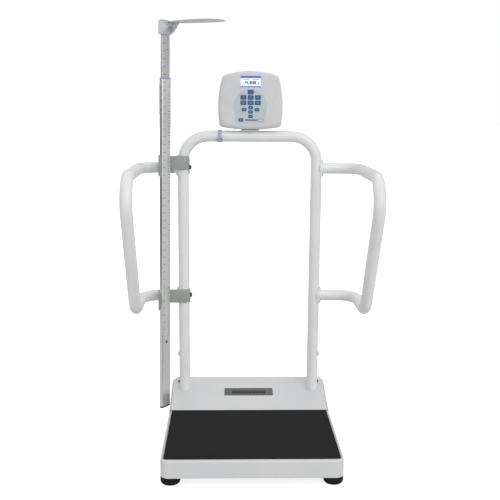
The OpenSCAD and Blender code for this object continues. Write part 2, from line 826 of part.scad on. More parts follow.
module display_lens() {
  color("lightblue") at_display() slab_y(display_front - 0.4, display_front + 1.2)
    translate([0, screen_z]) round_rect(screen_w + 4.8, screen_h + 4.8, 1.9);
}

module lcd_module() {
  color("darkslategray") at_display() {
    slab_y(display_front + 1.25, display_front + 8) translate([0, screen_z])
      round_rect(screen_w + 4, screen_h + 4, 1.5);
    slab_y(display_front + 8, display_front + 9.6) translate([0, screen_z])
      round_rect(screen_w + 22, screen_h + 8, 1.5);
  }
}

module main_board() {
  color("green") at_display() {
    slab_y(board_front, board_front + 1.6) translate([0, 1116]) round_rect(140, 116, 3);
    for (k = [0:len(KEYS) - 1]) translate([key_at(k)[0], board_front, key_at(k)[1]])
      rotate([90, 0, 0]) cylinder(h = dome_h, r = 3);
    slab_y(board_front + 1.6, board_front + 4) translate([28, 1128]) round_rect(20, 20, 1);
    slab_y(board_front + 1.6, board_front + 7) translate([-46, 1080]) round_rect(22, 8, 0.5);
  }
}

module battery_cells() {
  color("goldenrod") at_display() for (x = [-52, 1.5], k = [-1, 0, 1])
    translate([x, 2, battery_z + k * 15.5]) rotate([0, 90, 0]) {
      cylinder(h = 49.3, r = 7.25);
      translate([0, 0, 49.3]) cylinder(h = 1.2, r = 2.7);
    }
}

// Outside door over the battery bay; it slides down to come off
module battery_cover() {
  color("whitesmoke") at_display() {
    slab_y(display_back + FIT, display_back + 2.6) translate([0, battery_z])
      round_rect(battery_w, battery_h, 5);
    for (x = [-14, -7, 0, 7, 14]) slab_y(display_back + 2.5, display_back + 3.6)
      translate([x, battery_z + 16]) round_rect(3, 14, 1.4);
  }
}

module shell_screws() {
  color("silver") at_display() for (x = [-84, 84], z = [1066, 1200])
    translate([x, display_back, z]) rotate([0, 0, 90]) pan_screw(3.6, 2.2, 2, 12);
}

module key(k) {
  w = key_dims(k)[0];
  h = key_dims(k)[1];
  back = display_front + display_wall + FIT;
  color([0.14, 0.36, 0.6]) at_display() translate([key_at(k)[0], 0, key_at(k)[1]]) {
    slab_y(display_front - key_cap_proud, back + eps) round_rect(w, h, 2.5);
    slab_y(back, back + key_flange_t)
      round_rect(w + 2 * key_flange, h + 2 * key_flange, 2.5);
  }
}

// Fixed seat on the crossbar for the display's neck
module display_bracket() {
  color("gainsboro") at_display() difference() {
    union() {
      difference() {
        translate([-27, -15, crossbar_z + 10]) cube([54, 35, seat_top - crossbar_z - 10]);
        translate([0, 0, crossbar_z]) rotate([0, 90, 0])
          cylinder(h = 80, r = tube_r, center = true);
      }
      // sleeve through the crossbar's upper wall
      translate([0, 0, sleeve_low]) cylinder(h = seat_top - sleeve_low, r = swivel_r + 0.9);
    }
    translate([0, 0, crossbar_z]) cylinder(h = 60, r = swivel_r);
  }
}

// Turning neck: flange under the housing, hollow spindle in the bracket's sleeve
module display_neck() {
  color("gainsboro") at_display() difference() {
    union() {
      translate([0, 0, swivel_flange_z]) cylinder(h = swivel_flange_t, r = swivel_flange_r);
      translate([0, 0, sleeve_low])
        cylinder(h = swivel_flange_z - sleeve_low + 1, r = swivel_r - RUN);
      translate([0, 0, swivel_flange_z]) cylinder(h = 10, r = 8 - RUN);
    }
    translate([0, 0, crossbar_z]) cylinder(h = 50, r = 5);
  }
}

// ---------------------------------------------------------------- lead and ties

// Unit direction of the lead at one point of its route
function lead_dir(i) =
  let (a = LEAD[max(i - 1, 0)], b = LEAD[min(i + 1, len(LEAD) - 1)]) (b - a) / norm(b - a);

module display_lead() {
  sides = 10;
  last = len(LEAD) - 1;
  rings = [
    for (i = [0:last]) let (
      d = lead_dir(i),
      p = abs(d[1]) < 0.9 ? cross(d, [0, 1, 0]) : cross(d, [1, 0, 0]),
      u = p / norm(p),
      v = cross(d, u)
    ) for (s = [0:sides - 1])
      LEAD[i] + lead_d / 2 * (u * cos(s * 360 / sides) + v * sin(s * 360 / sides))
  ];
  walls = [
    for (i = [0:last - 1], s = [0:sides - 1]) let (
      a = i * sides + s,
      b = i * sides + (s + 1) % sides
    ) [a, b, b + sides, a + sides]
  ];
  ends = [[for (s = [0:sides - 1]) sides - 1 - s], [for (s = [0:sides - 1]) last * sides + s]];
  color("dimgray") polyhedron(rings, concat(ends, walls), convexity = 8);
}

// Band round the crossbar and the lead behind it
module tie_loop() {
  linear_extrude(bar_tie_w, center = true) difference() {
    union() {
      circle(tube_r + bar_tie_t);
      translate([tube_r + 4, 0]) circle(lead_d / 2 + 2);
      translate([0, -lead_d / 2 - 1]) square([tube_r + 4, lead_d + 2]);
    }
    circle(tube_r + 0.02);
    translate([tube_r + 4, 0]) circle(lead_d / 2 + 0.4);
    translate([tube_r - 4, -lead_d / 2]) square([8, lead_d]);
  }
}

// One tie on the crossbar with its head low in front, one on the left handrail's upper stub
module cable_ties() {
  color([0.65, 0.67, 0.74]) {
    translate([bar_tie_x, post_y, crossbar_z]) {
      rotate([90, 0, 90]) tie_loop();
      rotate([30, 0, 0]) slab_y(-tube_r - 6, -tube_r - 0.6) round_rect(20.6, 16.6, 3.4);
    }
    translate([stub_tie_x, post_y, rail_high]) rotate([0, 90, 0]) linear_extrude(stub_tie_w)
      difference() {
        circle(tube_r + tie_t);
        circle(tube_r + 0.02);
      }
  }
}

// ---------------------------------------------------------------- the nodes

base_frame();
platform_cover();
rear_housing();
platform_mat();
panel_label();
load_cell(-1, -1);  // load_cell_front_left
load_cell(1, -1);  // load_cell_front_right
load_cell(-1, 1);  // load_cell_rear_left
load_cell(1, 1);  // load_cell_rear_right
foot_pad(-1, -1);  // foot_front_left
foot_pad(1, -1);  // foot_front_right
foot_pad(-1, 1);  // foot_rear_left
foot_pad(1, 1);  // foot_rear_right
foot_studs();
junction_board();
base_screws();
handrail_frame();
left_handrail();
right_handrail();
rail_saddles();
frame_bolts();
display_bracket();
display_neck();
front_shell();
rear_shell();
keypad_overlay();
display_lens();
lcd_module();
main_board();
battery_cells();
battery_cover();
shell_screws();
key(0);  // key_01
key(1);  // key_02
key(2);  // key_03
key(3);  // key_04
key(4);  // key_05
key(5);  // key_06
key(6);  // key_07
key(7);  // key_08
key(8);  // key_09
key(9);  // key_10
key(10);  // key_11
key(11);  // key_12
key(12);  // key_13
mast_outer();
mast_inner();
mast_glide();
mast_end_plug();
reading_collar();
brake_housing();
upper_clamp();
lower_clamp();
head_block();
head_cap();
head_paddle();
hinge_pin();
display_lead();
cable_ties();
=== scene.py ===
import json
import math

import bmesh
import bpy
from mathutils import Matrix, Vector

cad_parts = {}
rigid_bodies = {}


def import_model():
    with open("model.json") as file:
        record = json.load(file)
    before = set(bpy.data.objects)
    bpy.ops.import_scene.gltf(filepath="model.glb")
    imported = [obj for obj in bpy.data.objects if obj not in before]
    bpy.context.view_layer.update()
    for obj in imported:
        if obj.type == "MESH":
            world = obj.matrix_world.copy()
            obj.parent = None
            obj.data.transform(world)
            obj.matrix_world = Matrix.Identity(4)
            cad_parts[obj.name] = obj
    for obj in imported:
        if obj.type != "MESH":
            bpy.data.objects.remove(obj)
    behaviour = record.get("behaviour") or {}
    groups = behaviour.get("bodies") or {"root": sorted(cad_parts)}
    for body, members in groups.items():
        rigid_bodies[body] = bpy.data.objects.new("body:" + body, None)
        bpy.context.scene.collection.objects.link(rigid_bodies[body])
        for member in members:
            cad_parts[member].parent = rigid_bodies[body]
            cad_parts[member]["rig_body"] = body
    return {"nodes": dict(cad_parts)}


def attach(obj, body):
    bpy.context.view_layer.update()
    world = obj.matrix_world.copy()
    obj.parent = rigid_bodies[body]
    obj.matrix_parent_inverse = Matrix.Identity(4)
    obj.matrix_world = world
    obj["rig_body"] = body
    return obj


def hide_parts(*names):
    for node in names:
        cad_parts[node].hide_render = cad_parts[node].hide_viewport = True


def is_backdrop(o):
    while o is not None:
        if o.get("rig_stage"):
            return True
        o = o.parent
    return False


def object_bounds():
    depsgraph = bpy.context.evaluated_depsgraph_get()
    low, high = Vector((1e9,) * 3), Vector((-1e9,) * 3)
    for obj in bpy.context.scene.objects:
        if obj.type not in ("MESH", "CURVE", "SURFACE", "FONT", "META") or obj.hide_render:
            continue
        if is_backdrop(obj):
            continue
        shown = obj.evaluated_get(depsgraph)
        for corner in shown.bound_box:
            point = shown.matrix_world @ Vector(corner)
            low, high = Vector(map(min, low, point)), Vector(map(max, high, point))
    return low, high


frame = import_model()
size_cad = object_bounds()
MM = 0.001

# Sizes shared with the CAD, in millimetres
BASE_W, BASE_D, CORNER = 550, 596, 25
DECK_TOP, SKIRT_LOW, SEAM_Y = 84, 28, 104
HOUSING_LOW, HOUSING_TOP = 86, 141
SLOPE = (HOUSING_TOP - HOUSING_LOW) / (BASE_D / 2 - 2 - SEAM_Y)
POST_X, POST_Y, TUBE_R, CROSSBAR_Z, FRAME_BEND = 228, 230, 19, 1018, 86
MAST = (-296.5, POST_Y - 46)
MAST_ANGLE, MAST_LEAN = math.radians(56 - 90), math.radians(0.7)
MAST_W, MAST_T, MAST_HIGH, MAST_LOW, HEAD_LOW = 44, 14, 1205, 75, 1348
HEAD_FRONT, HEAD_BACK, HEAD_TOP = 8.4, -10.5, HEAD_LOW + 41.5
PIVOT_U, PIVOT_Z, BLADE_LOW, PADDLE_LEN = 26, HEAD_LOW + 29, HEAD_LOW + 35.3, 200
FRONT, HOUSING_FOOT = POST_Y - 36, CROSSBAR_Z + TUBE_R + 3
FILM_Z, SCREEN_Z, KEY_PITCH = 1120, 1199, 24
CLAMP_SCREWS_Z = (912, 465)
LABEL_Y, LABEL_W, LABEL_D = 205, 172, 42
# Each key's column, height over the keypad's middle, and whether it is a large one
KEYS = [
    (0, 45, 1), (-1, 27.5, 1), (0, 27.5, 1), (1, 27.5, 1), (-1, 10, 1), (0, 10, 1), (1, 10, 1),
    (0, -6, 0), (-0.9, -12.6, 0), (0.9, -12.6, 0), (0, -20, 0), (0, -35, 0), (-1.35, -46.5, 0),
]

# ------------------------------------------------------------------ materials


def material(name, color, second, scale=60, rough=(0.35, 0.5), metal=0.0, bump=0.03,
             fine=900, stretch=(1, 1, 1), emission=0.0, specks=None, **sockets):
    """A surface whose tone, sheen and relief all vary a little over the object."""
    m = bpy.data.materials.new(name)
    m.use_nodes = True
    nt = m.node_tree
    b = nt.nodes["Principled BSDF"]
    b.inputs["Metallic"].default_value = metal
    for key, value in sockets.items():
        b.inputs[key.replace("_", " ")].default_value = value
    coord = nt.nodes.new("ShaderNodeTexCoord")
    mapping = nt.nodes.new("ShaderNodeMapping")
    mapping.inputs["Scale"].default_value = stretch
    nt.links.new(coord.outputs["Object"], mapping.inputs["Vector"])

    def noise(scale, detail):
        n = nt.nodes.new("ShaderNodeTexNoise")
        n.inputs["Scale"].default_value = scale
        n.inputs["Detail"].default_value = detail
        nt.links.new(mapping.outputs["Vector"], n.inputs["Vector"])
        return n.outputs["Fac"]

    broad, small = noise(scale, 4), noise(fine, 2)
    ramp = nt.nodes.new("ShaderNodeValToRGB")
    ramp.color_ramp.elements[0].position, ramp.color_ramp.elements[1].position = 0.35, 0.65
    ramp.color_ramp.elements[0].color = (*second, 1)
    ramp.color_ramp.elements[1].color = (*color, 1)
    nt.links.new(broad, ramp.inputs["Fac"])
    shade = ramp.outputs["Color"]
    if specks:
        ramp2 = nt.nodes.new("ShaderNodeValToRGB")
        ramp2.color_ramp.elements[0].position, ramp2.color_ramp.elements[1].position = 0.62, 0.7
        ramp2.color_ramp.elements[0].color = (0, 0, 0, 1)
        ramp2.color_ramp.elements[1].color = (1, 1, 1, 1)
        nt.links.new(small, ramp2.inputs["Fac"])
        mix = nt.nodes.new("ShaderNodeMix")
        mix.data_type = "RGBA"
        mix.inputs["B"].default_value = (*specks, 1)
        nt.links.new(ramp2.outputs["Color"], mix.inputs["Factor"])
        nt.links.new(shade, mix.inputs["A"])
        shade = mix.outputs["Result"]
    nt.links.new(shade, b.inputs["Base Color"])
    if emission:
        nt.links.new(shade, b.inputs["Emission Color"])
        b.inputs["Emission Strength"].default_value = emission
    sheen = nt.nodes.new("ShaderNodeMapRange")
    sheen.inputs["To Min"].default_value, sheen.inputs["To Max"].default_value = rough
    nt.links.new(broad, sheen.inputs["Value"])
    nt.links.new(sheen.outputs["Result"], b.inputs["Roughness"])
    relief = nt.nodes.new("ShaderNodeBump")
    relief.inputs["Strength"].default_value = bump
    relief.inputs["Distance"].default_value = 0.0004
    nt.links.new(small, relief.inputs["Height"])
    nt.links.new(relief.outputs["Normal"], b.inputs["Normal"])
    return m


# One white enamel in two copies: the base's copy is darker as painted shade and the tubes' copy lighter as
# painted light, since the lower parts get less light
BASE_ENAMEL_SHADED = material("enamel", (0.655, 0.658, 0.66), (0.63, 0.634, 0.639), 9, (0.33, 0.42), bump=0.10,
                 fine=420, Coat_Weight=0.25, Coat_Roughness=0.22)
TUBE_ENAMEL_LIT = material("tube_enamel", (0.80, 0.802, 0.804), (0.775, 0.778, 0.782), 9, (0.30, 0.38), bump=0.08,
                fine=420, Coat_Weight=0.3, Coat_Roughness=0.2)
PLASTIC = material("housing_plastic", (0.655, 0.658, 0.662), (0.625, 0.629, 0.635), 25, (0.42, 0.52),
                   bump=0.14, fine=1500)
HEAD = material("head_plastic", (0.645, 0.653, 0.69), (0.61, 0.62, 0.66), 25, (0.38, 0.5), bump=0.12,
                fine=1500)
CAP = material("cap_plastic", (0.34, 0.35, 0.40), (0.30, 0.31, 0.36), 30, (0.45, 0.55), bump=0.12,
               fine=1500)
RUBBER = material("rubber", (0.009, 0.009, 0.009), (0.006, 0.006, 0.006), 40, (0.62, 0.8), bump=0.25,
                  fine=700, Specular_IOR_Level=0.25)
MATT = material("mat_rubber", (0.013, 0.013, 0.0126), (0.0098, 0.0098, 0.0095), 25, (0.65, 0.8), bump=0.3,
                fine=800, Specular_IOR_Level=0.22)
ALU = material("mast_aluminium", (0.80, 0.80, 0.79), (0.72, 0.72, 0.71), 260, (0.28, 0.42), metal=0.85,
               bump=0.10, fine=1800, stretch=(1, 1, 0.012))
ALU_INNER = material("inner_aluminium", (0.66, 0.66, 0.65), (0.58, 0.58, 0.57), 260, (0.32, 0.45),
                     metal=0.85, bump=0.10, fine=1800, stretch=(1, 1, 0.012))
CELL = material("cell_aluminium", (0.60, 0.61, 0.63), (0.50, 0.51, 0.53), 300, (0.25, 0.4), metal=1.0,
                bump=0.15, fine=1500, stretch=(0.05, 1, 1))
CLAMP = material("clamp_enamel", (0.335, 0.355, 0.335), (0.305, 0.325, 0.305), 30, (0.38, 0.48),
                 bump=0.22, fine=600)
STEEL = material("zinc", (0.55, 0.56, 0.57), (0.42, 0.43, 0.44), 220, (0.25, 0.42), metal=1.0, bump=0.1,
                 fine=1500)
DARK = material("dark_steel", (0.11, 0.10, 0.085), (0.06, 0.055, 0.05), 200, (0.35, 0.5), metal=0.7,
                bump=0.15, fine=900)
PRIMER = material("primer", (0.16, 0.165, 0.17), (0.12, 0.125, 0.13), 30, (0.5, 0.65), bump=0.3, fine=500)
BLUE = material("key_blue", (0.020, 0.115, 0.30), (0.017, 0.10, 0.265), 60, (0.3, 0.4), bump=0.1, fine=1500)
COLLAR = material("collar_blue", (0.30, 0.37, 0.52), (0.27, 0.34, 0.48), 60, (0.3, 0.4), bump=0.1,
                  fine=1500)
OVERLAY = material("overlay_film", (0.53, 0.585, 0.605), (0.50, 0.555, 0.575), 40, (0.35, 0.45),
                   bump=0.12, fine=1800)
BOARD = material("board", (0.02, 0.13, 0.05), (0.01, 0.09, 0.035), 120, (0.3, 0.45), bump=0.2, fine=900,
                 specks=(0.25, 0.2, 0.06))
WRAP = material("cell_wrap", (0.45, 0.30, 0.06), (0.38, 0.25, 0.05), 60, (0.3, 0.4), bump=0.1, fine=900)
NYLON = material("nylon", (0.72, 0.72, 0.68), (0.66, 0.66, 0.62), 40, (0.4, 0.5), bump=0.1, fine=900)
TIE = material("tie_nylon", (0.42, 0.45, 0.57), (0.38, 0.41, 0.52), 60, (0.35, 0.5), bump=0.2, fine=900)
LEAD = material("lead_sheath", (0.20, 0.20, 0.21), (0.16, 0.16, 0.17), 60, (0.4, 0.55), bump=0.15, fine=900)
LABEL = material("label_film", (0.115, 0.115, 0.118), (0.10, 0.10, 0.103), 60, (0.35, 0.45), bump=0.1,
                 fine=1500)
INK = material("dark_ink", (0.012, 0.012, 0.014), (0.02, 0.02, 0.022), 300, (0.45, 0.6), bump=0.05)
RULER_INK = material("ruler_ink", (0.10, 0.10, 0.10), (0.15, 0.15, 0.15), 300, (0.45, 0.6), bump=0.05)
PALE_INK = material("pale_ink", (0.34, 0.46, 0.60), (0.29, 0.40, 0.53), 300, (0.4, 0.5), bump=0.05)
LCD_WHITE = material("screen_white", (0.70, 0.76, 0.90), (0.66, 0.73, 0.88), 200, (0.2, 0.3), bump=0.03,
                     emission=0.45)
LCD_BLUE = material("screen_blue", (0.006, 0.085, 0.66), (0.006, 0.075, 0.60), 200, (0.2, 0.3), bump=0.03,
                    emission=0.45)
LCD_BODY = material("screen_frame", (0.05, 0.06, 0.08), (0.04, 0.05, 0.07), 100, (0.3, 0.4), bump=0.05)
GLASS = material("screen_window", (0.96, 0.98, 1.0), (0.93, 0.96, 1.0), 60, (0.02, 0.05), bump=0.01,
                 Transmission_Weight=1.0, IOR=1.05, Alpha=0.25)

# ------------------------------------------------------------------ mesh tools


def piece(name, verts, faces, mat, body, slot=None, angle=35, nodes=()):
    """A shown piece from points in millimetres, riding on a CAD body."""
    me = bpy.data.meshes.new(name)
    me.from_pydata([(x * MM, y * MM, z * MM) for x, y, z in verts], [], faces)
    return finish_piece(name, me, mat, body, angle, nodes)


def finish_piece(name, me, mat, body, angle=35, nodes=()):
    bm = bmesh.new()
    bm.from_mesh(me)
    bmesh.ops.recalc_face_normals(bm, faces=bm.faces)
    for f in bm.faces:
        f.smooth = True
    for e in bm.edges:
        if len(e.link_faces) == 2 and e.calc_face_angle(0) > math.radians(angle):
            e.smooth = False
    bm.to_mesh(me)
    bm.free()
    me.materials.clear()
    me.materials.append(mat)
    o = bpy.data.objects.new(name, me)
    bpy.context.scene.collection.objects.link(o)
    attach(o, body)
    if nodes:
        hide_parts(*nodes)
    return o


def apply_modifiers(o):
    bpy.context.view_layer.update()
    done = bpy.data.meshes.new_from_object(o.evaluated_get(bpy.context.evaluated_depsgraph_get()))
    o.modifiers.clear()
    o.data = done
    return done


def soften(node, mat, width, segments=2):
    """The CAD node with its sharp edges eased, as its own piece."""
    source = frame["nodes"][node]
    me = source.data.copy()
    bm = bmesh.new()
    bm.from_mesh(me)
    bmesh.ops.remove_doubles(bm, verts=bm.verts, dist=2e-6)
    bmesh.ops.dissolve_limit(bm, angle_limit=math.radians(0.5), verts=bm.verts, edges=bm.edges)
    bm.to_mesh(me)
    bm.free()
    o = bpy.data.objects.new("soft_" + node, me)
    bpy.context.scene.collection.objects.link(o)
    bevel = o.modifiers.new("ease", "BEVEL")
    bevel.width, bevel.segments = width * MM, segments
    bevel.limit_method, bevel.angle_limit = "ANGLE", math.radians(40)
    me = apply_modifiers(o)
    bpy.data.objects.remove(o)
    return finish_piece("soft_" + node, me, mat, source["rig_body"], 30, (node,))


def cut(o, cutters):
    """Takes the cutters' shapes out of a piece."""
    for c in cutters:
        mod = o.modifiers.new("cut", "BOOLEAN")
        mod.operation, mod.solver, mod.object = "DIFFERENCE", "EXACT", c
    me = apply_modifiers(o)
    coat = me.materials[0]
    for c in cutters:
        bpy.data.objects.remove(c)
    bm = bmesh.new()
    bm.from_mesh(me)
    for e in bm.edges:
        e.smooth = not (len(e.link_faces) == 2 and e.calc_face_angle(0) > math.radians(35))
    bm.to_mesh(me)
    bm.free()
    me.materials.clear()
    me.materials.append(coat)


def cutter(verts, faces):
    me = bpy.data.meshes.new("cutter")
    me.from_pydata([(x * MM, y * MM, z * MM) for x, y, z in verts], [], faces)
    bm = bmesh.new()
    bm.from_mesh(me)
    bmesh.ops.recalc_face_normals(bm, faces=bm.faces)
    bm.to_mesh(me)
    bm.free()
    o = bpy.data.objects.new("cutter", me)
    bpy.context.scene.collection.objects.link(o)
    o.hide_render = True
    return o


def skin(n, last):
    """Faces between closed rows of n points, from the first row to the last."""
    return [(i * n + j, i * n + (j + 1) % n, (i + 1) * n + (j + 1) % n, (i + 1) * n + j)
            for i in range(last) for j in range(n)]


def loft(loops, capped=True):
    """Skin over closed loops of equal count."""
    n, last = len(loops[0]), len(loops) - 1
    verts = [p for loop in loops for p in loop]
    faces = skin(n, last)
    if capped:
        faces.append(tuple(range(n))[::-1])
        faces.append(tuple(range(last * n, last * n + n)))
    return verts, faces


def circle(r, n, cx=0, cy=0):
    return [(cx + r * math.cos(a), cy + r * math.sin(a)) for a in (2 * math.pi * k / n for k in range(n))]


def sweep(path, radius, sides=40):
    """Round tube along points, with rings carried smoothly from one to the next."""
    pts = [Vector(p) for p in path]
    side, loops = None, []
    for i, p in enumerate(pts):
        d = (pts[min(i + 1, len(pts) - 1)] - pts[max(i - 1, 0)]).normalized()
        if side is None:
            side = d.orthogonal().normalized()
        side = (side - d * side.dot(d)).normalized()
        up = d.cross(side)
        loops.append([tuple(p + (side * math.cos(a) + up * math.sin(a)) * radius)
                      for a in (2 * math.pi * k / sides for k in range(sides))])
    return loft(loops)


def bent(points, radii, step=3):
    """Polyline through points with round corners of the given radii."""
    pts = [Vector(p) for p in points]
    out = [pts[0]]
    for i in range(1, len(pts) - 1):
        a, p, b = pts[i - 1], pts[i], pts[i + 1]
        u, v = (a - p).normalized(), (b - p).normalized()
        half = u.angle(v) / 2
        reach = radii[i - 1] / math.tan(half)
        centre = p + (u + v).normalized() * (radii[i - 1] / math.sin(half))
        s, e = p + u * reach - centre, p + v * reach - centre
        turn = s.angle(e)
        axis = s.cross(e).normalized()
        count = max(6, int(math.degrees(turn) / step))
        out += [centre + Matrix.Rotation(turn * k / count, 3, axis) @ s for k in range(count + 1)]
    return [tuple(p) for p in out + [pts[-1]]]


def round_rect(w, d, r, cx=0, cy=0, n=10):
    out = []
    for sx, sy, a0 in ((1, 1, 0), (-1, 1, 90), (-1, -1, 180), (1, -1, 270)):
        for k in range(n + 1):
            a = math.radians(a0 + 90 * k / n)
            out.append((cx + sx * (w / 2 - r) + r * math.cos(a), cy + sy * (d / 2 - r) + r * math.sin(a)))
    return out


def normals(loop, closed=True):
    out, n = [], len(loop)
    for i in range(n):
        a = loop[i - 1] if closed or i else loop[0]
        b = loop[(i + 1) % n] if closed or i < n - 1 else loop[-1]
        t = Vector((b[0] - a[0], b[1] - a[1])).normalized()
        out.append((t[1], -t[0]))
    return out


def inset(loop, d, closed=True):
    return [(p[0] - m[0] * d, p[1] - m[1] * d) for p, m in zip(loop, normals(loop, closed))]


def pillow(loop, low, high, r_low, r_high, place, steps=5):
    """Closed solid over an outline with rounded lower and upper edges. place(u, v, w) gives the point."""
    loops = []
    for k in range(steps + 1):
        a = math.pi / 2 * k / steps
        loops.append((r_low * (1 - math.sin(a)), low + r_low * (1 - math.cos(a))))
    for k in range(steps + 1):
        a = math.pi / 2 * k / steps
        loops.append((r_high * (1 - math.cos(a)), high - r_high * (1 - math.sin(a))))
    return loft([[place(u, v, w) for u, v in inset(loop, d)] for d, w in loops])


def boxes(items, place):
    """Thin plates (u0, v0, u1, v1, w0, w1) put in place as one mesh."""
    verts, faces = [], []
    for u0, v0, u1, v1, w0, w1 in items:
        n = len(verts)
        verts += [place(u, v, w) for w in (w0, w1) for u, v in ((u0, v0), (u1, v0), (u1, v1), (u0, v1))]
        faces += [(n, n + 3, n + 2, n + 1), (n + 4, n + 5, n + 6, n + 7)]
        faces += [(n + k, n + (k + 1) % 4, n + 4 + (k + 1) % 4, n + 4 + k) for k in range(4)]
    return verts, faces


SEGMENTS = {
    "0": "abcdef", "1": "bc", "2": "abged", "3": "abgcd", "4": "fgbc",
    "5": "afgcd", "6": "afgedc", "7": "abc", "8": "abcdefg", "9": "gfabcd",
}


def digit(ch, u, v, w, h, t):
    """Strokes of one figure with its lower left corner at (u, v), as plates without depth."""
    m = h / 2
    at = {
        "a": (u, v + h - t, u + w, v + h), "g": (u, v + m - t / 2, u + w, v + m + t / 2),
        "d": (u, v, u + w, v + t), "f": (u, v + m, u + t, v + h), "e": (u, v, u + t, v + m),
        "b": (u + w - t, v + m, u + w, v + h), "c": (u + w - t, v, u + w, v + m),
    }
    return [at[s] for s in SEGMENTS.get(ch, "")]


def number(text, u, v, w, h, t, gap):
    out = []
    for ch in text:
        if ch == ".":
            out.append((u, v, u + t, v + t))
            u += t + gap
        else:
            out += digit(ch, u, v, w, h, t)
            u += w + gap
    return out


def mast(u, v, z):
    """Millimetre point from the leaning rod's frame: u along the paddle, v across the ruler face."""
    c, s = math.cos(MAST_ANGLE), math.sin(MAST_ANGLE)
    x, h = u * c - v * s, z - MAST_LOW
    return (MAST[0] + x * math.cos(MAST_LEAN) + h * math.sin(MAST_LEAN), MAST[1] + u * s + v * c,
            MAST_LOW - x * math.sin(MAST_LEAN) + h * math.cos(MAST_LEAN))


# ------------------------------------------------------------------ base


def slope_z(y):
    return HOUSING_LOW + SLOPE * (y - SEAM_Y)


def tray(path, top, low, r, sheet):
    """Folded cover over an open path: skirt, rounded fold, top and a sheet's thickness inside.

    Each row of points is the path moved inward and set some way below the top's height there."""
    steps = 7
    turns = [math.pi / 2 * k / steps for k in range(steps + 1)]
    moves = [0] + [r * (1 - math.cos(a)) for a in turns]
    drops = [r] + [r * (1 - math.sin(a)) for a in turns]
    moves += [sheet + (r - sheet) * (1 - math.cos(a)) for a in reversed(turns)]
    drops += [sheet + (r - sheet) * (1 - math.sin(a)) for a in reversed(turns)]
    rows = [[(x, y, low) for x, y in path]]
    rows += [[(x, y, top(y) - drop) for x, y in inset(path, move, False)] for move, drop in zip(moves, drops)]
    rows.append([(x, y, low) for x, y in inset(path, sheet, False)])
    n = len(path)
    verts = [p for row in rows for p in row]
    faces = [(i * n + j, i * n + j + 1, (i + 1) * n + j + 1, (i + 1) * n + j)
             for i in range(len(rows) - 1) for j in range(n - 1)]
    last = (len(rows) - 1) * n
    faces += [(last + j, last + j + 1, j + 1, j) for j in range(n - 1)]
    # the top's outer and inner faces, each within its own row of points
    ring = (steps + 2) * n
    faces.append(tuple(range(ring, ring + n)))
    faces.append(tuple(range(ring + n, ring + 2 * n))[::-1])
    return verts, faces


def arc(cx, cy, r, a0, a1, n=12):
    return [(cx + r * math.cos(math.radians(a0 + (a1 - a0) * k / n)),
             cy + r * math.sin(math.radians(a0 + (a1 - a0) * k / n))) for k in range(n + 1)]


HW, HD = BASE_W / 2, BASE_D / 2
SHEET, DECK_FOLD, HOUSE_FOLD, REAR_R, SEAM_GAP = 2, 7, 5, 28, 0.3
deck_path = ([(-HW, SEAM_Y - SEAM_GAP)] + arc(-HW + CORNER, -HD + CORNER, CORNER, 180, 270)
             + arc(HW - CORNER, -HD + CORNER, CORNER, 270, 360) + [(HW, SEAM_Y - SEAM_GAP)])
v, f = tray(deck_path, lambda y: DECK_TOP, SKIRT_LOW, DECK_FOLD, SHEET)
piece("deck_cover", v, f, BASE_ENAMEL_SHADED, "stand", "white_enamel", nodes=["platform_cover"])

house_path = ([(HW, SEAM_Y + SEAM_GAP)] + arc(HW - REAR_R, HD - REAR_R, REAR_R, 0, 90)
              + arc(-HW + REAR_R, HD - REAR_R, REAR_R, 90, 180) + [(-HW, SEAM_Y + SEAM_GAP)])
v, f = tray(house_path, slope_z, SKIRT_LOW, HOUSE_FOLD, SHEET)
housing = piece("rear_cover", v, f, BASE_ENAMEL_SHADED, "stand", "white_enamel", nodes=["rear_housing"])
holes = []
for side in (-1, 1):
    ring = circle(TUBE_R + 0.5, 48, side * POST_X, POST_Y)
    holes.append(cutter(*loft([[(x, y, z) for x, y in ring] for z in (90, 170)])))
cut(housing, holes)

# Ribbed mat: fine ribs from side to side, clipped to round corners
MAT_W, MAT_D, MAT_R, RIB = 531, 391, 6, 3.4
MAT_EDGE, GROOVE, CREST = 2.0, 2.5, 3.0
y_front = SEAM_Y - 1 - MAT_D


def mat_half(y):
    edge = min(y - y_front, y_front + MAT_D - y)
    return MAT_W / 2 - (MAT_R - math.sqrt(max(0, MAT_R ** 2 - (MAT_R - edge) ** 2)) if edge < MAT_R else 0)


rows = []
ribs = int((MAT_D - 6) / RIB)
start = y_front + (MAT_D - ribs * RIB) / 2
profile = [(y_front, 0), (y_front, MAT_EDGE), (y_front + 0.5, GROOVE)]
for k in range(ribs):
    y0 = start + k * RIB
    profile += [(y0 + 0.3, GROOVE), (y0 + 0.9, CREST), (y0 + 2.5, CREST), (y0 + 3.1, GROOVE)]
profile += [(y_front + MAT_D - 0.5, GROOVE), (y_front + MAT_D, MAT_EDGE), (y_front + MAT_D, 0)]
for y, h in profile:
    x = mat_half(y)
    rows.append([(-x, y, DECK_TOP), (-x, y, DECK_TOP + h), (x, y, DECK_TOP + h), (x, y, DECK_TOP)])
verts = [p for row in rows for p in row]
faces = [(i * 4 + j, i * 4 + j + 1, (i + 1) * 4 + j + 1, (i + 1) * 4 + j)
         for i in range(len(rows) - 1) for j in range(3)]
faces += [((i + 1) * 4, i * 4, i * 4 + 3, (i + 1) * 4 + 3) for i in range(len(rows) - 1)]
piece("ribbed_mat", verts, faces, MATT, "stand", "black_rubber", 25, ["platform_mat"])


def on_slope(u, v, w):
    """Point of the label's own frame: u across, v up the slope, w out of it."""
    a = math.atan(SLOPE)
    y = LABEL_Y + v * math.cos(a) - w * math.sin(a)
    return (u, y, slope_z(LABEL_Y) + v * math.sin(a) + w * math.cos(a))


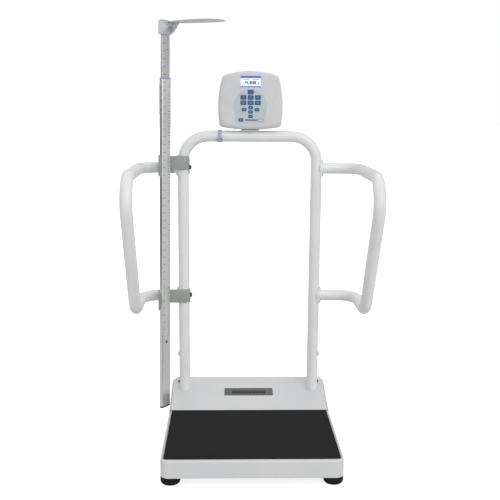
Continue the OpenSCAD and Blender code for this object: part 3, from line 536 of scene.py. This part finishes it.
v, f = pillow(round_rect(LABEL_W, LABEL_D, 2), 0.02, 1.5, 0.05, 0.4, on_slope, 3)
piece("slope_label", v, f, LABEL, "stand", "label_grey", nodes=["panel_label"])
MARKS_LEFT, BAR_PITCH = -58, 11.8
marks = []
for k in range(30):
    u = MARKS_LEFT + k * 3.9
    marks.append((u, 5.5, u + (1.2 if k % 3 else 2.6), 10.5 if k % 4 else 8.5, 1.48, 1.56))
v, f = boxes(marks, on_slope)
piece("slope_label_marks", v, f, INK, "stand", "label_grey")
bars = [MARKS_LEFT + k * BAR_PITCH for k in range(10)]
v, f = boxes([(u, -12, u + BAR_PITCH - 1, 3, 1.48, 1.58) for u in bars], on_slope)
piece("slope_label_bar", v, f, INK, "stand", "label_grey")

# ------------------------------------------------------------------ frame and handrails

frame_pts = bent([(-POST_X, POST_Y, 86), (-POST_X, POST_Y, CROSSBAR_Z), (POST_X, POST_Y, CROSSBAR_Z),
                  (POST_X, POST_Y, 86)], [FRAME_BEND, FRAME_BEND])
v, f = sweep(frame_pts, TUBE_R, 64)
main_frame = piece("frame_tube", v, f, TUBE_ENAMEL_LIT, "stand", "tube_enamel", 60, ["handrail_frame"])
# the neck's hole in the crossbar, and the slanting one where the lead enters the left post
ring = circle(11, 40, 0, POST_Y)
entry = [(-POST_X, POST_Y + 18.3 + 9.7 * k, 861.2 + 17.5 * k) for k in (-1, 1)]
cut(main_frame, [cutter(*loft([[(x, y, z) for x, y in ring] for z in (CROSSBAR_Z, CROSSBAR_Z + 40)])),
                 cutter(*sweep(entry, 5, 32))])

RAIL_X, RAIL_HIGH, RAIL_LOW, REACH_HIGH, REACH_LOW = 373, 911, 464, 475, 228
for side, name in ((-1, "left_handrail"), (1, "right_handrail")):
    rail = bent([
        (side * (POST_X + 12), POST_Y, RAIL_HIGH), (side * RAIL_X, POST_Y, RAIL_HIGH),
        (side * RAIL_X, POST_Y - REACH_HIGH, RAIL_HIGH), (side * RAIL_X, POST_Y - REACH_LOW, RAIL_LOW),
        (side * RAIL_X, POST_Y, RAIL_LOW), (side * (POST_X + 12), POST_Y, RAIL_LOW),
    ], [70, 78, 78, 70])
    v, f = sweep(rail, TUBE_R, 64)
    piece(name + "_tube", v, f, TUBE_ENAMEL_LIT, "stand", "tube_enamel", 60, [name])
    # weld beads where a handrail meets its saddle plates
    beads = ([], [])
    for z in (RAIL_HIGH, RAIL_LOW):
        pts = []
        for k in range(73):
            a = math.radians(k * 5)
            y, h = (TUBE_R + 0.6) * math.cos(a), (TUBE_R + 0.6) * math.sin(a)
            plate = POST_X + math.sqrt((TUBE_R + 3) ** 2 - min(y * y, 20.5 ** 2))
            x = plate + 0.4 + 0.25 * math.sin(k * 2.1)
            pts.append((side * x, POST_Y + y, z + h))
        bv, bf = sweep(pts, 1.9, 10)
        n = len(beads[0])
        beads[0].extend(bv)
        beads[1].extend(tuple(i + n for i in face) for face in bf)
    piece(name + "_weld", *beads, TUBE_ENAMEL_LIT, "stand", "tube_enamel", 60)

soften("rail_saddles", TUBE_ENAMEL_LIT, 0.8)


def keep_faces(o, wanted):
    """Leaves only the faces whose middle, in millimetres, is wanted."""
    bm = bmesh.new()
    bm.from_mesh(o.data)
    drop = [f for f in bm.faces if not wanted(f.calc_center_median() / MM)]
    bmesh.ops.delete(bm, geom=drop, context="FACES")
    bm.to_mesh(o.data)
    bm.free()


def is_clamp_screw(p):
    return -222 < p.x < -180 and any(abs(p.z - z) < 10 for z in CLAMP_SCREWS_Z)


# The clamps' screws are bare; the posts' and saddles' screws are painted over with the tubes
painted = soften("frame_bolts", TUBE_ENAMEL_LIT, 0.3)
bare = finish_piece("clamp_screws", painted.data.copy(), DARK, "stand", 30)
keep_faces(painted, lambda p: not is_clamp_screw(p))
keep_faces(bare, is_clamp_screw)
# Dark screw heads low on the posts' outer sides
POST_SCREW_Z = 146
for side, name in ((-1, "left"), (1, "right")):
    v, f = loft([[(side * (POST_X + TUBE_R + out), y, z) for y, z in circle(r, 28, POST_Y, POST_SCREW_Z)]
                 for r, out in ((5.5, -0.9), (5.5, 2.6), (4.9, 3.6), (3.0, 4.3), (1.0, 4.5))])
    piece("post_screw_" + name, v, f, DARK, "stand", "dark_steel")

# ------------------------------------------------------------------ display


def housing_outline(n=144):
    """Points in X and Z where rays from the middle meet the nearest of the housing's five edges."""
    out, mid = [], 1129
    # each edge's centre and radius
    arcs = ((-261.7, 1115, 370), (261.7, 1115, 370), (0, 958.5, 276), (0, HOUSING_FOOT + 530, 530),
            (0, mid, 126.5))
    for k in range(n):
        a = 2 * math.pi * k / n
        dx, dz = math.cos(a), math.sin(a)
        best = math.inf
        for cx, cz, r in arcs:
            ox, oz = -cx, mid - cz
            b = ox * dx + oz * dz
            best = min(best, -b + math.sqrt(max(0.0, b * b - (ox * ox + oz * oz - r * r))))
        out.append((dx * best, mid + dz * best))
    return out


outline = housing_outline()
SPLIT, BACK, WALL, DRAFT = FRONT + 24, FRONT + 52, 2.5, 1.4


def low_weight(z):
    """Grows from none to full over the housing's lowest part."""
    return min(1.0, max(0.0, (1085 - z) / 30))


def shell(front, back, r_front):
    """Rows of a half's outer skin: a rounded face, softer at the bottom, and sides with a little draft."""
    facing = 1 if back > front else -1
    rows, steps, nm = [], 8, normals(outline)
    for k in range(steps + 1):
        a = math.pi / 2 * (1 - k / steps)
        row = []
        for (x, z), m in zip(outline, nm):
            side_r = r_front * (1 + 0.9 * low_weight(z))
            deep_r = r_front * (1 + 0.35 * low_weight(z))
            d = DRAFT + side_r * (1 - math.cos(a))
            row.append((x - m[0] * d, front + facing * deep_r * (1 - math.sin(a)), z - m[1] * d))
        rows.append(row)
    for d, back_off in ((0.0, 1.2), (0.0, 0.5), (0.7, 0.02)):
        rows.append([(x - m[0] * d, SPLIT - facing * back_off, z - m[1] * d) for (x, z), m in zip(outline, nm)])
    return rows


def add_ring(bm, points):
    return [bm.verts.new([c * MM for c in p]) for p in points]


def fill(bm, rings):
    """Flat face between closed rings of points."""
    edges = [bm.edges.get(pair) or bm.edges.new(pair)
             for ring in rings for pair in zip(ring, ring[1:] + ring[:1])]
    bmesh.ops.triangle_fill(bm, use_beauty=True, use_dissolve=False, edges=edges)


def bridge(bm, layers):
    """Sides between the rings of one layer and those of the next."""
    for a, b in zip(*layers):
        for k in range(len(a)):
            bm.faces.new((a[k], a[(k + 1) % len(a)], b[(k + 1) % len(b)], b[k]))


def as_mesh(bm, name):
    me = bpy.data.meshes.new(name)
    bm.to_mesh(me)
    bm.free()
    return me


def half_shell(front, back, r_front, holes):
    """Hollow half of the housing: outer skin, rim, inner skin, and a face with openings through it."""
    facing = 1 if back > front else -1
    rows, n = shell(front, back, r_front), len(outline)
    face = inset([(x, z) for x, y, z in rows[0]], 0.4)
    for y, loop in ((SPLIT, inset(outline, WALL)), (front + facing * (r_front + 1), inset(outline, WALL)),
                    (front + facing * WALL, face)):
        rows.append([(x, y, z) for x, z in loop])
    bm = bmesh.new()
    made = [v for row in rows for v in add_ring(bm, row)]
    for corners in skin(n, len(rows) - 1):
        bm.faces.new([made[k] for k in corners])
    layers = []
    for y, ring in ((front, made[:n]), (front + facing * WALL, made[-n:])):
        layers.append([add_ring(bm, [(x, y, z) for x, z in hole]) for hole in holes])
        fill(bm, [ring] + layers[-1])
    bridge(bm, layers)
    return as_mesh(bm, "half_shell")


openings = [round_rect(*((20, 15) if big else (15.6, 11.3)), 2.8, col * KEY_PITCH, FILM_Z + row, 5)
            for col, row, big in KEYS]
openings.append(round_rect(69, 36, 2, 0, SCREEN_Z, 5))
finish_piece("display_front", half_shell(FRONT, BACK, 9, openings), PLASTIC, "display", 40,
             ["front_shell"])
bay = round_rect(104, 50, 3, 0, 1111, 5)
screw_holes = [circle(2.1, 16, x, z) for x in (-84, 84) for z in (1066, 1200)]
finish_piece("display_back", half_shell(BACK, FRONT, 7, [bay] + screw_holes), PLASTIC, "display",
             40, ["rear_shell"])


def on_face(u, v, w):
    """w is how far a point stands in front of the housing's face."""
    return (u, FRONT - w, v)


def holed_plate(loops, place, w0, w1):
    """Plate with openings: two filled faces, joined round every edge."""
    bm = bmesh.new()
    layers = []
    for w in (w0, w1):
        layers.append([add_ring(bm, [place(u, v, w) for u, v in loop]) for loop in loops])
        fill(bm, layers[-1])
    bridge(bm, layers)
    return as_mesh(bm, "plate")


film = arc(0, FILM_Z, 55, -18, 198, 72) + arc(-43.6, 1067, 3, 188, 270, 5) + arc(43.6, 1067, 3, 270, 352, 5)
finish_piece("keypad_film", holed_plate([film] + openings[:-1], on_face, 0.0, 1.0), OVERLAY, "display",
             40, ["keypad_overlay"])
v, f = boxes([(-19, 1071, 21, 1075, 0.98, 1.04)], on_face)
piece("keypad_bar", v, f, BLUE, "display", "overlay_grey")
v, f = loft([[on_face(33 + 1.55 * x, 1072.5 + z, w) for x, z in circle(r, 40)]
             for r, w in ((6, 0.98), (6, 1.05), (5.1, 1.05), (5.1, 0.98))], False)
piece("keypad_ring", v, f, BLUE, "display", "overlay_grey")

# Keys, with strokes on them that stand for their marks: a figure, a plus, two bars or one
FIGURE_KEYS, PLUS_KEYS, BARS_KEY = (0, 1), (7, 10), 12
for k, (col, row, big) in enumerate(KEYS):
    name = "key_%02d" % (k + 1)
    soften(name, BLUE, 0.5, 3)
    x, z = col * KEY_PITCH, FILM_Z + row
    if big:
        plates = [(x - 5, z + 1.0, x + 5, z + 1.9), (x - 3.5, z - 2.2, x + 3.5, z - 1.3)]
        if k in FIGURE_KEYS:
            plates = number(str(k + 1), x - 1.6, z - 4, 3.2, 8, 0.9, 1)
    else:
        plates = [(x - 3.6, z - 0.7, x + 3.6, z + 0.7)]
        if k in PLUS_KEYS:
            plates.append((x - 0.7, z - 2.6, x + 0.7, z + 2.6))
        if k == BARS_KEY:
            plates = [(x - 3.4, z + 0.6, x + 3.4, z + 1.8), (x - 3.4, z - 1.8, x + 3.4, z - 0.6)]
    v, f = boxes([(*p, 1.98, 2.05) for p in plates], on_face)
    piece(name + "_print", v, f, PALE_INK, name, "blue_plastic")

# Screen: white field between two blue bars, with a plain reading
soften("lcd_module", LCD_BODY, 0.2)
half_w, half_h = 34.2, 17.8
v, f = boxes([(-half_w, SCREEN_Z - half_h, half_w, SCREEN_Z + half_h, -0.95, -0.75)], on_face)
piece("screen_field", v, f, LCD_WHITE, "display", "screen_blue")
v, f = boxes([(-half_w, SCREEN_Z + half_h - 5.6, half_w, SCREEN_Z + half_h, -0.75, -0.7),
              (-half_w, SCREEN_Z - half_h, half_w, SCREEN_Z - half_h + 3, -0.75, -0.7)], on_face)
piece("screen_bars", v, f, LCD_BLUE, "display", "screen_blue")
plates = number("4.88", -19, SCREEN_Z - 8, 9, 9.6, 2.3, 2.3) + number("8", 23, SCREEN_Z - 8, 4, 5.5, 1.1, 1)
plates += [(-28, SCREEN_Z + 7, -6, SCREEN_Z + 8.1), (6, SCREEN_Z + 7, 28, SCREEN_Z + 8.1)]
v, f = boxes([(*p, -0.75, -0.68) for p in plates], on_face)
piece("screen_figures", v, f, INK, "display", "screen_blue")
v, f = pillow(round_rect(68.8, 35.8, 1.9, 0, SCREEN_Z, 5), -0.1, 0.4, 0.05, 0.3, on_face, 2)
piece("screen_window", v, f, GLASS, "display", "clear_lens", 40, ["display_lens"])

soften("display_neck", PLASTIC, 0.5)
soften("display_bracket", PLASTIC, 0.8)
soften("main_board", BOARD, 0.1)
soften("battery_cells", WRAP, 0.4)
soften("battery_cover", PLASTIC, 0.6)
soften("shell_screws", STEEL, 0.2)

# ------------------------------------------------------------------ height rod

soften("mast_outer", ALU, 0.15)
soften("mast_inner", ALU_INNER, 0.15)
soften("mast_glide", NYLON, 0.3)
soften("mast_end_plug", RUBBER, 0.6)
soften("reading_collar", COLLAR, 0.4)
soften("brake_housing", PLASTIC, 1.2, 3)
soften("upper_clamp", CLAMP, 0.5)
soften("lower_clamp", CLAMP, 0.5)

RULER_LOW, RULER_LOW_INNER, ROD_SCREW_Z, INCH = 328, 420, 308, 25.4


def ruler(face_u, half, z0, z1):
    """Centimetre figures and ticks by one edge, inches by the other, as plates on the ruler face."""
    items = []
    z = math.ceil(z0 / 5) * 5
    while z <= z1:
        long = 4.2 if z % 10 == 0 else 2.4
        items.append((half - 1.5 - long, z - 0.3, half - 1.5, z + 0.3))
        if z % 10 == 0 and z + 3.4 < z1:
            cm = z // 10
            tall, t = (4.4, 0.9) if cm % 10 == 0 else (3.0, 0.55)
            items += number(str(cm), half - 15.5, z - tall / 2, 2.1, tall, t, 0.8)
        z += 5
    k = math.ceil(z0 / (INCH / 2))
    while k * INCH / 2 <= z1:
        z = k * INCH / 2
        long = 4.6 if k % 2 == 0 else 2.6
        items.append((-half + 1.5, z - 0.35, -half + 1.5 + long, z + 0.35))
        if k % 2 == 0 and z - 3 > z0 and z + 3 < z1:
            tall, t = (5.0, 1.1) if (k // 2) % 12 == 0 else (3.6, 0.7)
            items += number(str(k // 2), -half + 7.6, z - tall / 2, 2.5, tall, t, 0.9)
        k += 1
    return boxes([(*plate, face_u - 0.02, face_u + 0.05) for plate in items], lambda u, v, w: mast(w, u, v))


v, f = ruler(MAST_T / 2, MAST_W / 2, RULER_LOW, MAST_HIGH - 3)
piece("ruler_outer", v, f, RULER_INK, "stand", "mast_aluminium")
v, f = loft([[mast(MAST_T / 2 + w, x, z) for x, z in circle(r, 28, 0, ROD_SCREW_Z)]
             for r, w in ((4.6, -0.02), (4.6, 0.9), (4.0, 1.5), (2.4, 2.0), (0.8, 2.15))])
piece("rod_screw", v, f, DARK, "stand", "dark_steel")
# the inner rod's face lies behind the outer's by a wall and a gap
wall_and_gap = 2.2 + 0.6
v, f = ruler(MAST_T / 2 - wall_and_gap, MAST_W / 2 - wall_and_gap, RULER_LOW_INNER, HEAD_LOW - 4)
piece("ruler_inner", v, f, RULER_INK, "rod", "mast_aluminium")

soften("head_block", HEAD, 1.4, 3)
head_mid = (HEAD_BACK + HEAD_FRONT) / 2
v, f = loft([[mast(head_mid + u, w, HEAD_TOP + h) for u, w in round_rect(15.9 - d, 40 - d, 4, 0, -3)]
             for d, h in ((0, 0.0), (0, 1.6), (1.2, 2.8), (3.4, 3.6), (7, 4.0), (12, 4.1))])
piece("cap_dome", v, f, CAP, "rod", "cap_grey", nodes=["head_cap"])

PADDLE_ROOT, PADDLE_TIP = HEAD_FRONT + 0.3, PIVOT_U + PADDLE_LEN
BELLY, ROOT_T, TIP_THINNER = 1.1, 5.0, 2.2
KNUCKLE_R, KNUCKLE_HALF, RIB_HALF = 5.4, 15.7, 1.5


def paddle_half(u):
    """Half width of the paddle: narrow at the hinge, widest past the middle, with a round tip."""
    t = (u - PADDLE_ROOT) / (PADDLE_TIP - PADDLE_ROOT)
    half = 26 + 26 * (0.5 - 0.5 * math.cos(math.pi * min(1, t / 0.62)))
    if t > 0.74:
        half *= math.sqrt(max(0.0, 1 - ((t - 0.74) / 0.2602) ** 2.6))
    return half


sections = []
for i in range(61):
    t = 1 - (1 - i / 60) ** 1.5
    u = PADDLE_ROOT + (PADDLE_TIP - PADDLE_ROOT) * t
    half, low, thick = max(paddle_half(u), 0.6), BLADE_LOW + t + BELLY, ROOT_T - TIP_THINNER * t
    section = []
    for k in range(40):
        a = math.pi * k / 20
        rise = math.sin(a)
        # full and flat on top, with a shallow belly below
        if k <= 20:
            h = (thick - BELLY) * max(rise, 0.0) ** 0.55
        else:
            h = BELLY * rise * min(1, 2 * abs(rise))
        section.append(mast(u, -half * math.cos(a), low + h))
    sections.append(section)
v, f = loft(sections)
rib = [(PIVOT_U - 3, BLADE_LOW + 1), (PIVOT_U + 34, BLADE_LOW + 1), (PIVOT_U + 7.5, PIVOT_Z - 16),
       (PIVOT_U + 2, PIVOT_Z - 4)]
leg = [(PIVOT_U - 5, PIVOT_Z), (PIVOT_U + KNUCKLE_R, PIVOT_Z), (PIVOT_U + KNUCKLE_R, BLADE_LOW + 1.2),
       (PIVOT_U - 5, BLADE_LOW + 1.2)]
knuckle = circle(KNUCKLE_R, 36, PIVOT_U, PIVOT_Z)
for plan, half in ((knuckle, KNUCKLE_HALF), (rib, RIB_HALF), (leg, KNUCKLE_HALF)):
    more, sides = loft([[mast(u, w, z) for u, z in plan] for w in (-half, half)])
    f += [tuple(k + len(v) for k in face) for face in sides]
    v += more
piece("paddle_blade", v, f, HEAD, "paddle", "head_plastic", 40, ["head_paddle"])
soften("hinge_pin", STEEL, 0.3)

# ------------------------------------------------------------------ lead, feet and inner pieces

lead = [
    (-27.3, 247, 1033.5), (-36, 248, 1032.5), (-46, 249.5, 1030), (-56, 251, 1026.5), (-68, 252.6, 1021),
    (-84, 253, 1018), (-111, 253, 1018), (-130, 253, 1018), (-148, 253, 1018), (-170, 253, 1013),
    (-190, 253, 1003), (-207, 254, 988), (-219, 256, 970), (-226, 258, 950), (-228, 258, 925),
    (-228, 258, 900), (-228, 256, 880), (-228, 251, 864), (-228, 243, 852), (-228, 236, 840),
    (-228, 231, 822), (-228, 230, 800), (-228, 230, 700), (-228, 230, 560), (-228, 230, 420),
    (-228, 230, 280), (-228, 230, 180), (-228, 230, 120), (-227, 230, 100), (-223, 230, 84),
    (-214, 230, 73), (-200, 230, 68), (-160, 230, 68), (-120, 230, 68), (-96, 230, 71),
    (-82, 230, 78), (-72, 230, 86), (-63, 230, 92), (-52, 230, 94.6),
]


def through(points, parts=4):
    """Smooth curve through points, each stretch cut into equal parts."""
    out, last = [], len(points) - 1
    for i in range(last):
        a, b, c, d = (Vector(points[max(0, min(last, i + k))]) for k in (-1, 0, 1, 2))
        for s in (k / parts for k in range(parts)):
            out.append(tuple(0.5 * (2 * b + (c - a) * s + (2 * a - 5 * b + 4 * c - d) * s * s
                                    + (3 * b - a - 3 * c + d) * s ** 3)))
    return out + [points[-1]]


v, f = sweep(through(lead), 3, 20)
piece("lead_sheath", v, f, LEAD, "stand", "lead_jacket", 60, ["display_lead"])
soften("cable_ties", TIE, 0.3)

for where in ("front_left", "front_right", "rear_left", "rear_right"):
    soften("foot_" + where, RUBBER, 1.5, 3)
    soften("load_cell_" + where, CELL, 0.5)
soften("foot_studs", STEEL, 0.3)
soften("base_frame", PRIMER, 0.8)
soften("junction_board", BOARD, 0.1)
soften("base_screws", STEEL, 0.3)

# ------------------------------------------------------------------ camera, floor and light


def stage_piece(name, tone, rough, glow, verts, faces):
    m = bpy.data.materials.new(name)
    m.use_nodes = True
    b = m.node_tree.nodes["Principled BSDF"]
    b.inputs["Base Color"].default_value = (tone, tone, tone, 1)
    b.inputs["Roughness"].default_value = rough
    b.inputs["Emission Color"].default_value = (1, 1, 1, 1)
    # the glow is mostly for the eye, so that the plain floor stays pale and lights the object only a little
    eye, strength = m.node_tree.nodes.new("ShaderNodeLightPath"), m.node_tree.nodes.new("ShaderNodeMath")
    strength.operation = "MULTIPLY_ADD"
    strength.inputs[1].default_value, strength.inputs[2].default_value = glow, glow * 0.2
    m.node_tree.links.new(eye.outputs["Is Camera Ray"], strength.inputs[0])
    m.node_tree.links.new(strength.outputs["Value"], b.inputs["Emission Strength"])
    me = bpy.data.meshes.new(name)
    me.from_pydata(verts, [], faces)
    me.materials.append(m)
    o = bpy.data.objects.new(name, me)
    bpy.context.scene.collection.objects.link(o)
    o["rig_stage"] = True
    return o


FLOOR_HALF, FLOOR_Z = 40.0, -0.0005
corners = [(FLOOR_HALF * x, FLOOR_HALF * y, FLOOR_Z) for x, y in ((-1, -1), (1, -1), (1, 1), (-1, 1))]
stage_piece("floor", 0.52, 0.9, 0.66, corners, [(0, 1, 2, 3)])
# Dark card to the left, out of sight, mirrored by the height rod's narrow face
near, far, card_low, card_high = (-1.40, -1.00), (-1.85, 0.20), 0.1, 1.9
corners = [(*near, card_low), (*far, card_low), (*far, card_high), (*near, card_high)]
card = stage_piece("card", 0.02, 0.9, 0.0, corners, [(0, 1, 2, 3)])
card.visible_camera = card.visible_diffuse = False

# Camera where the photographed view was taken from: turned, tipped and rolled a little
pitch, yaw, roll = (math.radians(a) for a in (10.10, 1.554, 0.399))
eye = Vector((-0.0733, -2.5586, 1.1215))
look = Vector((math.sin(yaw) * math.cos(pitch), math.cos(yaw) * math.cos(pitch), -math.sin(pitch)))
right = Vector((math.cos(yaw), -math.sin(yaw), 0))
up = right.cross(look)
across = right * math.cos(roll) + up * math.sin(roll)
upward = up * math.cos(roll) - right * math.sin(roll)
camera_data = bpy.data.cameras.new("camera")
camera_data.sensor_width, camera_data.lens = 36, 58.464
camera = bpy.data.objects.new("camera", camera_data)
bpy.context.scene.collection.objects.link(camera)
camera.matrix_world = Matrix((
    *((across[k], upward[k], -look[k], eye[k]) for k in range(3)), (0, 0, 0, 1)))
bpy.context.scene.camera = camera


def sun(name, direction, power, softness):
    data = bpy.data.lights.new(name, "SUN")
    data.energy, data.angle = power, math.radians(softness)
    o = bpy.data.objects.new(name, data)
    bpy.context.scene.collection.objects.link(o)
    o.rotation_euler = (-Vector(direction)).to_track_quat("-Z", "Y").to_euler()


sun("key", (0.55, -1.0, 0.58), 0.92, 50)
sun("top", (0.1, 0.1, 1.0), 0.40, 80)
sun("fill", (-1.0, -0.35, 0.25), 0.38, 60)

# White studio: full white where it is looked at, a little less where it lights the object
world = bpy.data.worlds.new("world")
world.use_nodes = True
wt = world.node_tree
lighting = wt.nodes["Background"]
lighting.inputs["Color"].default_value = (0.99, 0.993, 1.0, 1)
lighting.inputs["Strength"].default_value = 0.66
seen = wt.nodes.new("ShaderNodeBackground")
seen.inputs["Color"].default_value = (1, 1, 1, 1)
seen.inputs["Strength"].default_value = 1.0
path, choose = wt.nodes.new("ShaderNodeLightPath"), wt.nodes.new("ShaderNodeMixShader")
wt.links.new(path.outputs["Is Camera Ray"], choose.inputs["Fac"])
wt.links.new(lighting.outputs["Background"], choose.inputs[1])
wt.links.new(seen.outputs["Background"], choose.inputs[2])
wt.links.new(choose.outputs["Shader"], wt.nodes["World Output"].inputs["Surface"])
bpy.context.scene.world = world
bpy.context.scene.view_settings.view_transform = "Standard"

size_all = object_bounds()


def plain(value):
    return [plain(x) for x in value] if hasattr(value, "__len__") else float(value)


{"cad": plain(size_cad), "all": plain(size_all)}
